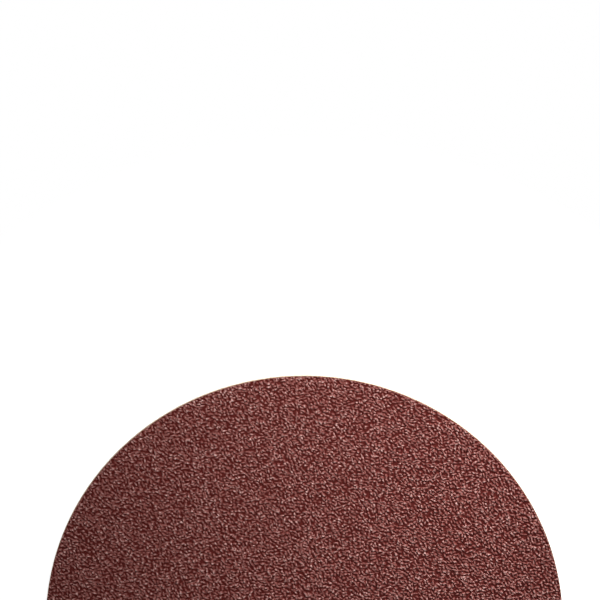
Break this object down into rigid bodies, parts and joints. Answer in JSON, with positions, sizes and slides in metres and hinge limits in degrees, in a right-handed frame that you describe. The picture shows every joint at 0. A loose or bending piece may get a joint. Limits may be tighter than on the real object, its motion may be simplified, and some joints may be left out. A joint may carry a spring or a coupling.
{
  "type": "hook and loop sanding disc",
  "caption": "Round sanding disc of coarse red-brown abrasive on tan paper, with no holes, faced underneath with a knitted loop pile that grips a sander's hook pad.",
  "frame": {"origin": "centre of the loop face, on the surface that the disc lies on", "axes": "+Z along the disc's axis, out of the abrasive face; +X along the rows of loops"},
  "size_m": [0.1253, 0.1252, 0.0024],
  "materials": {
    "bonded_grain": "satin",
    "backing_paper": "matte",
    "loop_knit": "matte"
  },
  "bodies": {
    "root": {"abrasive_coat": "bonded_grain", "backing_paper": "backing_paper", "loop_pile": "loop_knit"}
  },
  "joints": []
}
